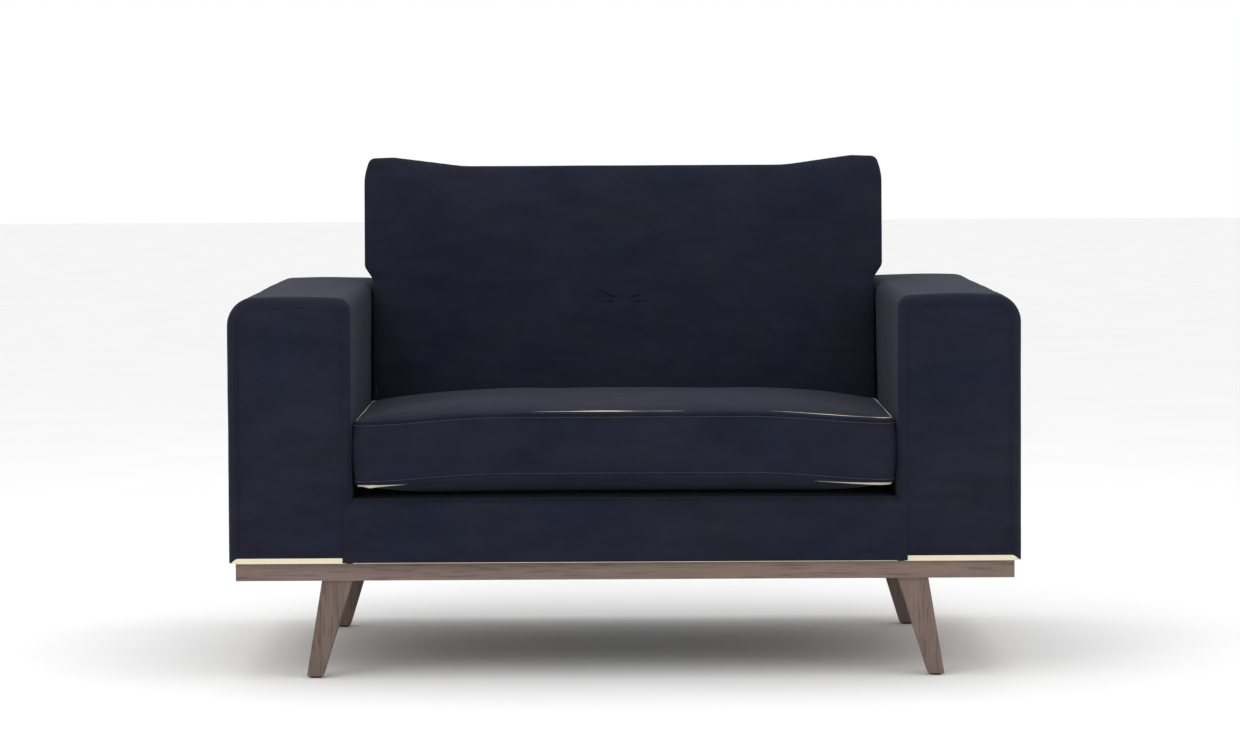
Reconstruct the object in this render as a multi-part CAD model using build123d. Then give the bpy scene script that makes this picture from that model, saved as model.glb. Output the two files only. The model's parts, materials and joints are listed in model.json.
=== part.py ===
from build123d import *
import math
import os

# Upholstered loveseat on a wooden plinth with four splayed legs.
# Millimetres. +X is the sitter's left-to-right width as seen from the front, -Y is the front, +Z is up.
# The origin is on the floor, under the centre of the whole sofa.

# ---------- driving dimensions ----------
WIDTH = 1300.0            # over both arms
ARM_WIDTH = 203.0
ARM_TOP = 626.0
FRONT = -455.0            # plane of the arm fronts and the apron
REAR = 430.0              # plane of the arm rears
BASE = 191.0              # underside of the upholstered frame
DECK = 295.5              # top of the seat deck

LEG_HEIGHT = 159.0
GLIDE_HEIGHT = 3.0
PLINTH_BOTTOM = GLIDE_HEIGHT + LEG_HEIGHT
PLINTH_HEIGHT = 28.0
PLINTH_INSET_SIDE = 11.0
PLINTH_INSET_FRONT = 12.0
PLINTH_RAIL = 45.0        # width of a plinth rail, seen from below

COVER = 3.0               # upholstery fabric with its backing
FOAM = 12.0               # foam wrap over the frame boards
SKIN = 4.0                # hardboard skins of the arms

ARM_OUTER_RADIUS = 44.0   # long top edge, outer side
ARM_INNER_RADIUS = 20.0   # long top edge, seat side
ARM_END_RADIUS = 16.0     # edges round the front and rear end panels

LEAN = 10.0               # degrees, seat back from the vertical
BACK_CUSHION_THICK = 200.0
BACK_CUSHION_GAP = 1.0    # between the back cushion and the back frame
BACK_FACE_AT_SEAT = 75.0  # Y of the back cushion's face at the level of the seat's crown
SEAT_CROWN = 458.0
SEAT_BOTTOM = DECK + 0.5
BACK_FRAME_TOP = 765.0
SIDE_CLEARANCE = 1.0      # between each cushion, or the back frame, and the arm beside it

BOLT_RADIUS = 4.0
BOLT_LEVEL = 245.0        # height of the bolts that join the arms and the back to the seat box

# ---------- derived places ----------
ARM_IN = WIDTH / 2 - ARM_WIDTH
INSIDE = ARM_IN - SIDE_CLEARANCE
PLINTH_TOP = PLINTH_BOTTOM + PLINTH_HEIGHT
PLINTH_X = WIDTH / 2 - PLINTH_INSET_SIDE
PLINTH_FRONT = FRONT + PLINTH_INSET_FRONT
PLINTH_REAR = REAR - PLINTH_INSET_FRONT
SIDES = {"left": -1, "right": 1}

os.makedirs("parts", exist_ok=True)


def save(shape, name):
    export_step(shape, "parts/" + name + ".step")


def block(x, y, z):
    """Box between the low and high values of each axis."""
    size = (x[1] - x[0], y[1] - y[0], z[1] - z[0])
    centre = ((x[0] + x[1]) / 2, (y[0] + y[1]) / 2, (z[0] + z[1]) / 2)
    return Pos(*centre) * Box(*size)


def side_block(side, x, y, z):
    """The same box on the left or the right: x is measured outwards from the centre."""
    low, high = sorted((side * x[0], side * x[1]))
    return block((low, high), y, z)


def prism_z(points, z):
    """Flat plan outline (X, Y), raised between two heights."""
    return Pos(0, 0, z[0]) * extrude(make_face(Polyline(*points, close=True)), z[1] - z[0])


def prism_x(points, x):
    """Side profile (Y, Z), carried between two X positions."""
    outline = Polyline(*[(x[0], y, z) for y, z in points], close=True)
    return extrude(make_face(outline), amount=x[1] - x[0], dir=(1, 0, 0))


def rod(start, direction, length, radius=BOLT_RADIUS):
    """Round bar from a start point along a direction."""
    plane = Plane(origin=start, z_dir=direction)
    return plane * Cylinder(radius, length, align=(Align.CENTER, Align.CENTER, Align.MIN))


def group(shapes):
    return Compound(children=list(shapes))


# ---------- legs ----------
LEG_THICK = 32.0
LEG_TOP_OUTER = 498.0
LEG_TOP_INNER = 448.0
LEG_FOOT_OUTER = 524.5
LEG_FOOT_INNER = 497.5
LEG_SETBACK = 6.0         # leg face behind the plinth face
REAR_LEG_FRONT = 263.0    # Y of the rear legs' front face
LEG_BOLT_X = (LEG_TOP_OUTER + LEG_TOP_INNER) / 2
FRONT_LEG_Y = (PLINTH_FRONT + LEG_SETBACK, PLINTH_FRONT + LEG_SETBACK + LEG_THICK)
REAR_LEG_Y = (REAR_LEG_FRONT, REAR_LEG_FRONT + LEG_THICK)
HANGER_IN_LEG = 35.0
TEE_FLANGE = 1.5
TEE_BARREL_TOP = PLINTH_TOP - TEE_FLANGE
TEE_BARREL_BOTTOM = PLINTH_TOP - 14.0
TEE_BARREL_RADIUS = 5.0
TEE_FLANGE_RADIUS = 11.0
GLIDE_RADIUS = 10.0


def leg_spots():
    for side in SIDES.values():
        for span in (FRONT_LEG_Y, REAR_LEG_Y):
            yield side * LEG_BOLT_X, (span[0] + span[1]) / 2


def leg(side, span):
    """Tapered leg, splayed outwards, with a small chamfer round its foot."""
    profile = [
        (side * LEG_TOP_INNER, PLINTH_BOTTOM),
        (side * LEG_TOP_OUTER, PLINTH_BOTTOM),
        (side * LEG_FOOT_OUTER, GLIDE_HEIGHT),
        (side * LEG_FOOT_INNER, GLIDE_HEIGHT),
    ]
    outline = Polyline(*[(x, span[0], z) for x, z in profile], close=True)
    body = extrude(make_face(outline), amount=LEG_THICK, dir=(0, 1, 0))
    uprights = [e for e in body.edges() if abs(e.tangent_at(0).Z) > 0.5]
    body = fillet(uprights, 2)
    body = chamfer(body.faces().sort_by(Axis.Z)[0].edges(), 1.5)
    middle = (span[0] + span[1]) / 2
    hole = rod((side * LEG_BOLT_X, middle, PLINTH_BOTTOM), (0, 0, -1), HANGER_IN_LEG)
    return body - hole


def tee_nut_seat(x, y):
    """Clearance hole for the hanger bolt with the tee nut's barrel and flange let in above it."""
    bolt = rod((x, y, PLINTH_BOTTOM), (0, 0, 1), PLINTH_HEIGHT)
    barrel = rod((x, y, TEE_BARREL_BOTTOM), (0, 0, 1), PLINTH_TOP - TEE_BARREL_BOTTOM, TEE_BARREL_RADIUS)
    flange = rod((x, y, TEE_BARREL_TOP), (0, 0, 1), TEE_FLANGE, TEE_FLANGE_RADIUS)
    return bolt + barrel + flange


def tee_nut(x, y):
    barrel = rod((x, y, TEE_BARREL_BOTTOM), (0, 0, 1), PLINTH_TOP - TEE_BARREL_BOTTOM, TEE_BARREL_RADIUS)
    flange = rod((x, y, TEE_BARREL_TOP), (0, 0, 1), TEE_FLANGE, TEE_FLANGE_RADIUS)
    return barrel + flange - rod((x, y, TEE_BARREL_BOTTOM), (0, 0, 1), PLINTH_TOP - TEE_BARREL_BOTTOM)


def foot_glide(x_foot, y):
    """Plastic disc under the foot, with a softened rim."""
    disc = Pos(x_foot, y, GLIDE_HEIGHT / 2) * Cylinder(GLIDE_RADIUS, GLIDE_HEIGHT)
    return chamfer(disc.edges().sort_by(Axis.Z)[0], 0.8)


def make_legs():
    spans = {"front": FRONT_LEG_Y, "rear": REAR_LEG_Y}
    for place, span in spans.items():
        for name, side in SIDES.items():
            save(leg(side, span), "leg_" + place + "_" + name)
    bolts = [
        rod((x, y, PLINTH_BOTTOM - HANGER_IN_LEG), (0, 0, 1), HANGER_IN_LEG + PLINTH_HEIGHT - 1)
        for x, y in leg_spots()
    ]
    save(group(bolts), "leg_bolts")
    save(group(tee_nut(x, y) for x, y in leg_spots()), "leg_tee_nuts")
    foot_x = (LEG_FOOT_OUTER + LEG_FOOT_INNER) / 2
    glides = [foot_glide(math.copysign(foot_x, x), y) for x, y in leg_spots()]
    save(group(glides), "foot_glides")


# ---------- plinth ----------
BEARER_HALF = 40.0
CORNER_LEG = 70.0


def plinth_rail(corners):
    """One mitred rail from its four plan corners."""
    return prism_z(corners, (PLINTH_BOTTOM, PLINTH_TOP))


def make_plinth():
    x0, x1 = PLINTH_X, PLINTH_X - PLINTH_RAIL
    f0, f1 = PLINTH_FRONT, PLINTH_FRONT + PLINTH_RAIL
    r0, r1 = PLINTH_REAR, PLINTH_REAR - PLINTH_RAIL
    front = plinth_rail([(-x0, f0), (x0, f0), (x1, f1), (-x1, f1)])
    rear = plinth_rail([(-x0, r0), (x0, r0), (x1, r1), (-x1, r1)])
    for x, y in leg_spots():
        if y < 0:
            front -= tee_nut_seat(x, y)
    save(front, "plinth_front_rail")
    save(rear, "plinth_rear_rail")
    bearers = []
    for name, side in SIDES.items():
        rail = plinth_rail([(side * x0, f0), (side * x0, r0), (side * x1, r1), (side * x1, f1)])
        save(rail, "plinth_side_rail_" + name)
        x = (LEG_BOLT_X - BEARER_HALF, LEG_BOLT_X + BEARER_HALF)
        bearer = side_block(side, x, (f1, r1), (PLINTH_BOTTOM, PLINTH_TOP))
        bearers.append(bearer - tee_nut_seat(side * LEG_BOLT_X, (REAR_LEG_Y[0] + REAR_LEG_Y[1]) / 2))
    save(group(bearers), "leg_bearers")
    blocks = []
    for side in SIDES.values():
        for y, inward in ((f1, 1), (r1, -1)):
            corner = [(side * x1, y), (side * (x1 - CORNER_LEG), y), (side * x1, y + inward * CORNER_LEG)]
            blocks.append(prism_z(corner, (PLINTH_BOTTOM + 3, PLINTH_TOP)))
    save(group(blocks), "plinth_corner_blocks")
    sheet_x = (-x0, x0)
    save(block(sheet_x, (f0, r0), (PLINTH_TOP, BASE)), "dust_cover")


# ---------- seat box ----------
RAIL = 25.0
RAIL_TOP = 274.0
BOX_FRONT = FRONT + COVER + FOAM - 1      # front face of the front rail
BOX_REAR = 228.0                          # rear face of the rear rail
STRETCHER_HALF = 20.0
SEAT_CORNER = 60.0
ARM_BOLT_Y = (-330.0, 150.0)
BACK_POST_WIDTH = 30.0
BACK_POST_X = 393.0       # centre of each outer back post


def make_seat_box():
    z = (BASE, RAIL_TOP)
    front = block((-INSIDE, INSIDE), (BOX_FRONT, BOX_FRONT + RAIL), z)
    rear = block((-INSIDE, INSIDE), (BOX_REAR - RAIL, BOX_REAR), z)
    for x in back_post_centres():
        rear -= rod((x, BOX_REAR - RAIL, BOLT_LEVEL), (0, 1, 0), RAIL)
    save(front, "seat_front_rail")
    save(rear, "seat_rear_rail")
    between = (BOX_FRONT + RAIL, BOX_REAR - RAIL)
    for name, side in SIDES.items():
        rail = side_block(side, (INSIDE - RAIL, INSIDE), between, z)
        for y in ARM_BOLT_Y:
            rail -= rod((side * (INSIDE - RAIL), y, BOLT_LEVEL), (side, 0, 0), RAIL)
        save(rail, "seat_side_rail_" + name)
    stretcher = block((-STRETCHER_HALF, STRETCHER_HALF), between, (BASE, BASE + 2 * STRETCHER_HALF))
    save(stretcher, "seat_centre_stretcher")
    blocks = []
    x = INSIDE - RAIL
    for side in SIDES.values():
        for y, inward in ((between[0], 1), (between[1], -1)):
            corner = [(side * x, y), (side * (x - SEAT_CORNER), y), (side * x, y + inward * SEAT_CORNER)]
            blocks.append(prism_z(corner, (BASE, BASE + SEAT_CORNER / 2)))
    save(group(blocks), "seat_corner_blocks")


# ---------- seat suspension ----------
WIRE = 1.8                # half thickness of the spring wire
SPRING_COUNT = 7
SPRING_HALF = 24.0
SPRING_STEP = 32.0
SPRING_X = 330.0          # outermost spring from the centre
CLIP_HEIGHT = 7.0
CLIP_HALF = 7.0
SPRING_LEVEL = RAIL_TOP + CLIP_HEIGHT / 2
PAD_BOTTOM = RAIL_TOP + CLIP_HEIGHT + 0.5
DECK_CLOTH = 2.5
APRON_DEPTH = 40.0        # how far the apron's foam and cover run back over the front rail


def spring_places():
    return [-SPRING_X + 2 * SPRING_X * i / (SPRING_COUNT - 1) for i in range(SPRING_COUNT)]


def sinuous_spring():
    """Flat zigzag wire: straight bars joined by half-round bends, from the front rail to the rear rail."""
    start = BOX_FRONT + RAIL / 2
    end = BOX_REAR - RAIL / 2
    count = round((end - start) / SPRING_STEP)
    step = (end - start) / count
    level = (SPRING_LEVEL - WIRE, SPRING_LEVEL + WIRE)
    reach = SPRING_HALF - step / 2
    wire = []
    for bar in range(count + 1):
        y = start + bar * step
        wire.append(block((-reach, reach), (y - WIRE, y + WIRE), level))
        if bar < count:
            hand = 1 if bar % 2 == 0 else -1
            ring = Circle(step / 2 + WIRE) - Circle(step / 2 - WIRE)
            half = ring & Pos(hand * step, 0) * Rectangle(2 * step, 4 * step)
            bend = extrude(half, 2 * WIRE)
            wire.append(Pos(hand * reach, y + step / 2, level[0]) * bend)
    spring = wire[0]
    for piece in wire[1:]:
        spring += piece
    return spring


def spring_clip(x, y):
    clip = block((x - CLIP_HALF, x + CLIP_HALF), (y - 6, y + 6), (RAIL_TOP, RAIL_TOP + CLIP_HEIGHT))
    clip = fillet(clip.edges().filter_by(Axis.X).group_by(Axis.Z)[-1], 3)
    slot = block((x - CLIP_HALF, x + CLIP_HALF), (y - WIRE, y + WIRE), (SPRING_LEVEL - WIRE, SPRING_LEVEL + WIRE))
    return clip - slot


def make_suspension():
    spring = sinuous_spring()
    save(group(Pos(x, 0, 0) * spring for x in spring_places()), "seat_springs")
    ends = (BOX_FRONT + RAIL / 2, BOX_REAR - RAIL / 2)
    save(group(spring_clip(x, y) for x in spring_places() for y in ends), "spring_clips")
    reach = SPRING_X + SPRING_HALF + 20
    level = SPRING_LEVEL - WIRE - 1.5
    ties = [rod((-reach, y, level), (1, 0, 0), 2 * reach, 1.4) for y in (-260.0, 50.0)]
    save(group(ties), "spring_tie_wires")
    pad_y = (FRONT + APRON_DEPTH + 2, BOX_REAR)
    save(block((-INSIDE, INSIDE), pad_y, (PAD_BOTTOM, DECK - DECK_CLOTH)), "seat_spring_pad")
    save(block((-INSIDE, INSIDE), pad_y, (DECK - DECK_CLOTH, DECK)), "seat_deck_cloth")


def apron_body(inset):
    """The apron's solid shape, shrunk by an inset from its front and top."""
    body = block((-INSIDE, INSIDE), (FRONT + inset, FRONT + APRON_DEPTH), (BASE, DECK - inset))
    front_top = body.edges().filter_by(Axis.X).group_by(Axis.Y)[0].sort_by(Axis.Z)[-1]
    return fillet(front_top, max(20 - inset, 2))


def make_apron():
    cover = apron_body(0) - apron_body(COVER)
    frame = block((-INSIDE, INSIDE), (BOX_FRONT, FRONT + APRON_DEPTH), (BASE, PAD_BOTTOM))
    save(cover, "apron_cover")
    save(apron_body(COVER) - frame, "apron_foam")


# ---------- arms ----------
BOARD = 18.0              # plywood end panels
ARM_RAIL = 25.0
POST_DEPTH = 60.0
POST_THICK = 25.0
SKIN_TOP = ARM_TOP - ARM_OUTER_RADIUS     # height where the rounded top begins


def arm_body(side, inset, drop=0.0):
    """The arm's solid shape, shrunk by an inset from every face but the bottom."""
    x = (ARM_IN + inset, WIDTH / 2 - inset)
    y = (FRONT + inset, REAR - inset)
    body = side_block(side, x, y, (BASE - drop, ARM_TOP - inset))
    tops = body.edges().filter_by(Axis.Y).group_by(Axis.Z)[-1].sort_by(Axis.X)
    body = fillet(tops[-1] if side > 0 else tops[0], ARM_OUTER_RADIUS - inset)
    tops = [e for e in body.edges().filter_by(Axis.Y) if e.center().Z > ARM_TOP - inset - 1]
    inner = min(tops, key=lambda e: abs(e.center().X))
    body = fillet(inner, ARM_INNER_RADIUS - inset)
    if inset < ARM_END_RADIUS - 2:
        rims = []
        for face in (body.faces().sort_by(Axis.Y)[0], body.faces().sort_by(Axis.Y)[-1]):
            rims += [e for e in face.edges() if e.center().Z > BASE - drop + 1]
        body = fillet(rims, ARM_END_RADIUS - inset)
    return body


def arm_bolt_holes(side, x):
    holes = [rod((side * x[0], y, BOLT_LEVEL), (side, 0, 0), x[1] - x[0]) for y in ARM_BOLT_Y]
    return holes[0] + holes[1]


def arm_foam(side, padded, core):
    """Separate foam slabs: seat side, outer side, top, front and rear."""
    wrap = padded - core
    ends = (FRONT + COVER + FOAM, REAR - COVER - FOAM)
    far = 50.0
    low = ARM_IN + COVER + FOAM
    high = WIDTH / 2 - COVER - FOAM
    slabs = [
        wrap & side_block(side, (ARM_IN, low), ends, (BASE, SKIN_TOP)),
        wrap & side_block(side, (high, high + far), ends, (BASE, SKIN_TOP)),
        wrap & side_block(side, (ARM_IN, high + far), ends, (SKIN_TOP, ARM_TOP)),
        wrap & side_block(side, (ARM_IN, high + far), (FRONT, ends[0]), (BASE, ARM_TOP)),
        wrap & side_block(side, (ARM_IN, high + far), (ends[1], REAR), (BASE, ARM_TOP)),
    ]
    slabs[0] -= arm_bolt_holes(side, (ARM_IN, low))
    return group(slabs)


def make_arm(name, side):
    hide = COVER + FOAM
    low = ARM_IN + hide
    high = WIDTH / 2 - hide
    ends = (FRONT + hide, REAR - hide)
    between = (ends[0] + BOARD, ends[1] - BOARD)
    padded = arm_body(side, COVER)
    core = arm_body(side, hide)
    cover = arm_body(side, 0) - padded
    cover -= arm_bolt_holes(side, (ARM_IN, ARM_IN + COVER))
    save(cover, "arm_cover_" + name)
    save(arm_foam(side, padded, core), "arm_foam_" + name)
    whole = (low - 1, high + 1)
    z = (BASE, ARM_TOP)
    save(core & side_block(side, whole, (ends[0], between[0]), z), "arm_front_board_" + name)
    save(core & side_block(side, whole, (between[1], ends[1]), z), "arm_rear_board_" + name)
    save(core & side_block(side, whole, between, (SKIN_TOP, ARM_TOP)), "arm_top_board_" + name)
    inner_skin = side_block(side, (low, low + SKIN), between, (BASE, SKIN_TOP))
    inner_skin -= arm_bolt_holes(side, (low, low + SKIN))
    outer_skin = side_block(side, (high - SKIN, high), between, (BASE, SKIN_TOP))
    save(group([inner_skin, outer_skin]), "arm_skins_" + name)
    rail = side_block(side, (low + SKIN, high - SKIN), between, (BASE, BASE + ARM_RAIL))
    save(rail, "arm_bottom_rail_" + name)
    posts = []
    for y in ARM_BOLT_Y:
        x = (low + SKIN, low + SKIN + POST_THICK)
        span = (y - POST_DEPTH / 2, y + POST_DEPTH / 2)
        post = side_block(side, x, span, (BASE + ARM_RAIL, SKIN_TOP))
        posts.append(post - arm_bolt_holes(side, x))
    save(group(posts), "arm_posts_" + name)


# ---------- back frame ----------
REAR_RAKE = 33.0 / 574.0  # the outside back leans this much per millimetre of height
BACK_FOOT_Y = REAR - 2.0
HARDBOARD = 3.0
BELT = 2.0
FOAM_START = 285.0        # the foam and its cover end just under the deck
CAP_FOAM = 28.0           # from the top of the back down to its boards
TAN_LEAN = math.tan(math.radians(LEAN))


def cushion_face_y(z):
    """Front plane of the back cushion."""
    return BACK_FACE_AT_SEAT + TAN_LEAN * (z - SEAT_CROWN)


def frame_face_y(z):
    """Front plane of the upholstered back frame."""
    shift = (BACK_CUSHION_THICK + BACK_CUSHION_GAP) / math.cos(math.radians(LEAN))
    return cushion_face_y(z) + shift


def outside_back_y(z):
    return BACK_FOOT_Y + REAR_RAKE * (z - BASE)


def back_body(front, top, rear, side, bottom=BASE):
    """Wedge-shaped back, shrunk from its front, top, rear and sides."""
    high = BACK_FRAME_TOP - top
    lean_shift = front / math.cos(math.radians(LEAN))
    points = [
        (frame_face_y(bottom) + lean_shift, bottom),
        (frame_face_y(high) + lean_shift, high),
        (outside_back_y(high) - rear, high),
        (outside_back_y(bottom) - rear, bottom),
    ]
    return prism_x(points, (-INSIDE + side, INSIDE - side))


def soften_back(body, radius):
    """Round the two long top edges."""
    return fillet(body.edges().filter_by(Axis.X).group_by(Axis.Z)[-1], radius)


def back_post_centres():
    return (-BACK_POST_X, 0.0, BACK_POST_X)


def make_back():
    hide = COVER + FOAM
    outer = soften_back(back_body(0, 0, 0, 0), 25)
    padded = soften_back(back_body(COVER, COVER, COVER, COVER), 22)
    hollow = block((-INSIDE, INSIDE), (BOX_REAR - 60, BACK_FOOT_Y - COVER - 0.1), (BASE, FOAM_START))
    save(outer - padded - hollow, "back_cover")

    filled = padded & block((-INSIDE, INSIDE), (200, 480), (FOAM_START, BACK_FRAME_TOP))
    frame_top = BACK_FRAME_TOP - CAP_FOAM
    core = back_body(hide, CAP_FOAM, COVER, COVER)
    slab = filled & block((-INSIDE, INSIDE), (200, 480), (FOAM_START, frame_top))
    cap = filled & block((-INSIDE, INSIDE), (200, 480), (frame_top, BACK_FRAME_TOP))
    save(group([slab - core, cap]), "back_foam")

    rear_board = core - back_body(0, CAP_FOAM, COVER + HARDBOARD, COVER)
    save(rear_board, "back_rear_board")

    inner = back_body(hide + BELT, CAP_FOAM, COVER + HARDBOARD, COVER)
    low_front = block((-INSIDE, INSIDE), (BOX_REAR, BOX_REAR + 80), (BASE, FOAM_START - 8))
    posts = []
    for x in back_post_centres():
        slice_x = block((x - BACK_POST_WIDTH / 2, x + BACK_POST_WIDTH / 2), (200, 480), (BASE, frame_top))
        post = (inner + low_front) & slice_x
        posts.append(post - rod((x, BOX_REAR, BOLT_LEVEL), (0, 1, 0), 60))
    save(group(posts), "back_posts")
    make_back_rails(inner, frame_top)


def make_back_rails(inner, frame_top):
    left, centre, right = back_post_centres()
    gaps = [
        (left + BACK_POST_WIDTH / 2, centre - BACK_POST_WIDTH / 2),
        (centre + BACK_POST_WIDTH / 2, right - BACK_POST_WIDTH / 2),
    ]
    top_z = (frame_top - RAIL, frame_top)
    save(group(inner & block(x, (200, 480), top_z) for x in gaps), "back_top_rails")
    low_z = (FOAM_START + 5, FOAM_START + 65)
    y = (frame_face_y(low_z[1]) + hide_depth(), frame_face_y(low_z[1]) + hide_depth() + RAIL)
    save(group(block(x, y, low_z) for x in gaps), "back_lower_rails")
    save(group(back_belt(z) for z in (380.0, 470.0, 560.0, 650.0)), "back_webbing")


def hide_depth():
    """Horizontal distance from the back's face to the front of its posts."""
    return (COVER + FOAM + BELT) / math.cos(math.radians(LEAN))


def back_belt(z):
    """One horizontal elastic belt over the fronts of the posts."""
    front = (COVER + FOAM) / math.cos(math.radians(LEAN))
    width = 50.0
    thick = (BELT - 0.2) / math.cos(math.radians(LEAN))
    points = [
        (frame_face_y(z) + front, z),
        (frame_face_y(z + width) + front, z + width),
        (frame_face_y(z + width) + front + thick, z + width),
        (frame_face_y(z) + front + thick, z),
    ]
    return prism_x(points, (-INSIDE + COVER, INSIDE - COVER))


def make_frame_bolts():
    """Bolts from the seat box into the arm posts and the back posts."""
    start = INSIDE - RAIL
    end = ARM_IN + COVER + FOAM + SKIN + POST_THICK
    head = 7.0
    bolts = []
    for side in SIDES.values():
        for y in ARM_BOLT_Y:
            shank = rod((side * (start - head), y, BOLT_LEVEL), (side, 0, 0), end - start + head)
            bolts.append(shank + rod((side * (start - head), y, BOLT_LEVEL), (side, 0, 0), head, 9))
    save(group(bolts), "arm_bolts")
    front = BOX_REAR - RAIL
    bolts = []
    for x in back_post_centres():
        shank = rod((x, front - head, BOLT_LEVEL), (0, 1, 0), RAIL + 60 + head)
        bolts.append(shank + rod((x, front - head, BOLT_LEVEL), (0, 1, 0), head, 9))
    save(group(bolts), "back_bolts")


# ---------- cushions ----------
TICKING = 2.5             # cushion cover
SEAT_FRONT = FRONT - 4.5
SEAT_REAR = 44.0
SEAT_ROUND = 30.0
ZIP_HALF = 330.0
ZIP_STOP = 318.0
ZIP_TAPE = 12.0           # half width of the tape
ZIP_TEETH = 2.5           # half width of the row of teeth
ZIP_REST = 308.0


def seat_cushion_body(inset):
    x = INSIDE - inset
    body = block((-x, x), (SEAT_FRONT + inset, SEAT_REAR - inset), (SEAT_BOTTOM + inset, SEAT_CROWN - inset))
    body = fillet(body.edges().filter_by(Axis.Z), SEAT_ROUND - inset)
    rims = body.faces().sort_by(Axis.Z)[0].edges() + body.faces().sort_by(Axis.Z)[-1].edges()
    return fillet(rims, SEAT_ROUND - 2 - inset)


def zip_strip():
    """Closed zip lying in the X direction, face up: tape, teeth and an end stop at each end."""
    tape = block((-ZIP_HALF, ZIP_HALF), (-ZIP_TAPE, ZIP_TAPE), (0, 1))
    teeth = block((-ZIP_STOP, ZIP_STOP), (-ZIP_TEETH, ZIP_TEETH), (1, 2.4))
    stops = [block((x - 2, x + 2), (-4, 4), (1, 3)) for x in (-ZIP_STOP, ZIP_STOP)]
    return tape + teeth + stops[0] + stops[1]


def zip_slider():
    """Slider that straddles the teeth, with its pull tab lying flat."""
    body = block((ZIP_REST - 6, ZIP_REST + 6), (-5, 5), (1.3, 5))
    body = fillet(body.edges().filter_by(Axis.Z), 2)
    channel = block((ZIP_REST - 8, ZIP_REST + 8), (-ZIP_TEETH - 0.5, ZIP_TEETH + 0.5), (1, 2.9))
    tab = block((ZIP_REST - 30, ZIP_REST - 4), (-3, 3), (4, 5.2))
    eye = rod((ZIP_REST - 26, 0, 4), (0, 0, 1), 1.2, 1.6)
    return body - channel + tab - eye


def make_seat_cushion():
    outer = seat_cushion_body(0)
    inner = seat_cushion_body(TICKING)
    save(outer - inner, "seat_cushion_cover")
    save(inner, "seat_cushion_core")
    level = (SEAT_BOTTOM + SEAT_CROWN) / 2
    rear = Plane(origin=(0, SEAT_REAR, level), x_dir=(1, 0, 0), z_dir=(0, 1, 0))
    save(rear * zip_strip(), "seat_cushion_zip")
    save(rear * zip_slider(), "seat_zip_slider")


BACK_LOW = INSIDE         # half width between the arms
BACK_WIDE = 461.0         # half width where it swells above the arms
BACK_SWELL = 339.0        # distance up the cushion where the swell starts
EAR_HEIGHT = 533.0
MIDDLE_HEIGHT = 517.0


def back_cushion_plane():
    """Cushion plane: X along the sofa, Y up the leaning face, Z rearwards through the thickness."""
    rear_foot = DECK + 1.5
    lean = math.radians(LEAN)
    foot = rear_foot + BACK_CUSHION_THICK * math.sin(lean)
    up = (0, math.sin(lean), math.cos(lean))
    through = (0, math.cos(lean), -math.sin(lean))
    normal = Vector(*through)
    return Plane(origin=(0, cushion_face_y(foot), foot), x_dir=(-1, 0, 0), z_dir=normal), up


def back_cushion_outline(inset):
    """Front outline with a swell above the arms and a raised ear at each top corner."""
    half = [
        (BACK_LOW - inset, inset),
        (BACK_LOW - inset, BACK_SWELL),
        (BACK_WIDE - inset, BACK_SWELL + 40),
        (BACK_WIDE - inset, EAR_HEIGHT - 35),
        (BACK_WIDE - 14 - inset, EAR_HEIGHT - inset),
        (BACK_WIDE - 55, EAR_HEIGHT - inset),
        (BACK_WIDE - 190, MIDDLE_HEIGHT - inset),
    ]
    mirrored = [(-x, v) for x, v in reversed(half)]
    face = make_face(Polyline(*(half + mirrored), close=True))
    low = face.vertices().group_by(Axis.Y)[0]
    face = fillet(low, 30 - inset)
    for reach, radius in ((BACK_WIDE - 14 - inset, 16.0), (BACK_WIDE - 55, 60.0), (BACK_WIDE - 190, 300.0)):
        spots = [v for v in face.vertices() if abs(abs(v.X) - reach) < 0.01 and v.Y > MIDDLE_HEIGHT - inset - 1]
        face = fillet(spots, radius)
    return face


def back_cushion_body(inset):
    plane, _ = back_cushion_plane()
    body = extrude(back_cushion_outline(inset), BACK_CUSHION_THICK - 2 * inset)
    ends = body.faces().sort_by(Axis.Z)
    rims = ends[0].edges() + ends[-1].edges()
    body = fillet(rims, 14)
    return plane * Pos(0, 0, inset) * body


def make_back_cushion():
    outer = back_cushion_body(0)
    inner = back_cushion_body(TICKING)
    save(outer - inner, "back_cushion_cover")
    save(inner, "back_cushion_core")
    plane, up = back_cushion_plane()
    through = plane.z_dir
    origin = plane.origin + through * (BACK_CUSHION_THICK / 2)
    down = Plane(origin=origin, x_dir=(1, 0, 0), z_dir=(-up[0], -up[1], -up[2]))
    save(down * zip_strip(), "back_cushion_zip")
    save(down * zip_slider(), "back_zip_slider")


make_legs()
make_plinth()
make_seat_box()
make_suspension()
make_apron()
for arm_name, arm_side in SIDES.items():
    make_arm(arm_name, arm_side)
make_back()
make_frame_bolts()
make_seat_cushion()
make_back_cushion()
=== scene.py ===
"""Velvet loveseat on a wooden plinth: upholstery, cushions, seams, stitching and finishes."""
import json
import math

import bmesh
import bpy
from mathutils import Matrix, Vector, noise


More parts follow.
